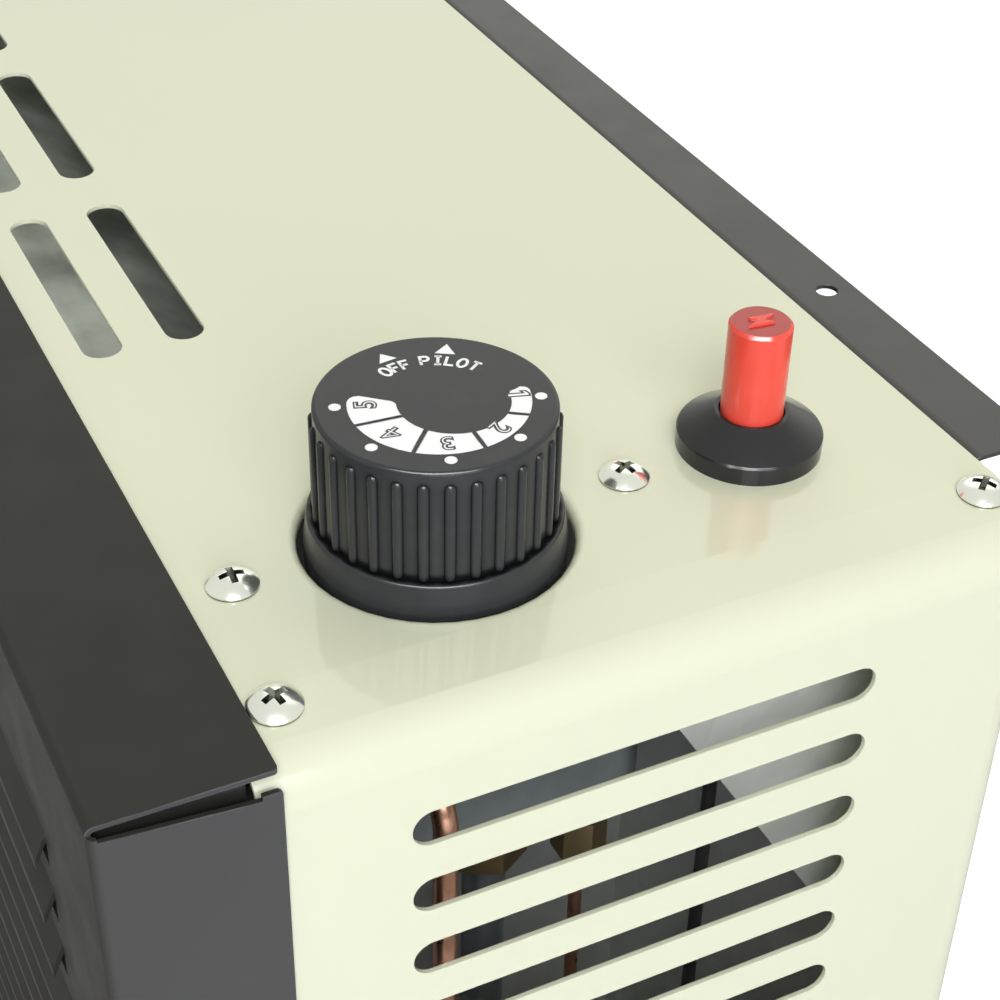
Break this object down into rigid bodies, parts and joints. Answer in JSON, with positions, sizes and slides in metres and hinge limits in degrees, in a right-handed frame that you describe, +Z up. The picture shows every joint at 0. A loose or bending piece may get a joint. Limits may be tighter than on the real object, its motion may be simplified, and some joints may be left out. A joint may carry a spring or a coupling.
{
  "type": "direct vent propane heater",
  "caption": "Upright sheet-metal room heater with louvred front, top and side vents, gas knob, push igniter, sealed combustion chamber and twin rear vent collars.",
  "frame": {"origin": "on the floor, under the middle of the whole part's box", "axes": "+X to the right seen from the front, +Y to the rear, towards the wall, +Z up"},
  "size_m": [0.5764, 0.2426, 0.6287],
  "materials": {
    "cream_paint": "gloss baked enamel",
    "black_paint": "satin powder coat",
    "galvanised": "spangled zinc coat",
    "zinc": "bright zinc plate",
    "black_screw": "black zinc",
    "charcoal_plastic": "moulded, satin",
    "lead_rubber": "silicone sleeve",
    "collar_plastic": "moulded, gloss",
    "red_plastic": "moulded, satin",
    "cast_alloy": "die cast",
    "brass": "turned",
    "copper": "drawn copper",
    "enamel": "matt heat enamel",
    "pale_ceramic": "glazed",
    "fibre": "pressed fibre",
    "glass": "heat-proof glass"
  },
  "bodies": {
    "heater": {"cabinet_wrap": "cream_paint", "front_frame": "black_paint", "front_grille": "black_paint", "rear_panel": "black_paint", "base_pan": "galvanised", "hose_plate": "galvanised", "side_rails": "galvanised", "top_deflector": "galvanised", "control_partition": "galvanised", "left_shield": "galvanised", "valve_bracket": "galvanised", "gas_valve": "cast_alloy", "knob_spring": "zinc", "igniter_collar": "collar_plastic", "igniter_nut": "zinc", "igniter_cartridge": "pale_ceramic", "igniter_spring": "zinc", "igniter_lead": "lead_rubber", "inlet_fitting": "brass", "gas_regulator": "cast_alloy", "regulator_bracket": "galvanised", "inlet_tube": "galvanised", "burner_feed": "cast_alloy", "pilot_tube": "copper", "thermocouple": "copper", "sensing_bulb": "copper", "bulb_clips": "zinc", "tube_nuts": "brass", "chamber_front": "enamel", "chamber_back": "enamel", "chamber_legs": "galvanised", "main_burner": "zinc", "burner_brackets": "zinc", "orifice_holder": "brass", "pilot_bracket": "zinc", "pilot_burner": "brass", "spark_electrode": "pale_ceramic", "service_plate": "zinc", "service_gasket": "fibre", "sight_glass": "glass", "glass_gasket": "fibre", "glass_frame": "zinc", "air_box": "galvanised", "intake_collar": "galvanised", "intake_flange": "galvanised", "flue_collar": "zinc", "flue_flange": "zinc", "vent_gasket": "fibre", "top_screws": "zinc", "frame_screws": "black_screw", "base_screws": "zinc", "rear_screws": "black_screw", "valve_screws": "zinc", "plate_screws": "zinc", "glass_screws": "zinc"},
    "knob_carrier": {"spring_seat": "zinc"},
    "knob": {"control_knob": "charcoal_plastic", "valve_stem": "brass"},
    "button": {"igniter_button": "red_plastic"}
  },
  "joints": [
    {"name": "knob_push", "type": "slide", "parent": "heater", "child": "knob_carrier", "axis": [0, 0, -1], "range_m": [0, 0.005], "stiffness_N_per_m": 1500, "springref_m": -0.004, "deforming": ["knob_spring"]},
    {"name": "knob_turn", "type": "hinge", "parent": "knob_carrier", "child": "knob", "pos_m": [0.2359, -0.038, 0.6], "axis": [0, 0, 1], "range_deg": [0, 297]},
    {"name": "button_push", "type": "slide", "parent": "heater", "child": "button", "axis": [0, 0, -1], "range_m": [0, 0.008], "stiffness_N_per_m": 800, "springref_m": -0.004, "deforming": ["igniter_spring"]}
  ]
}
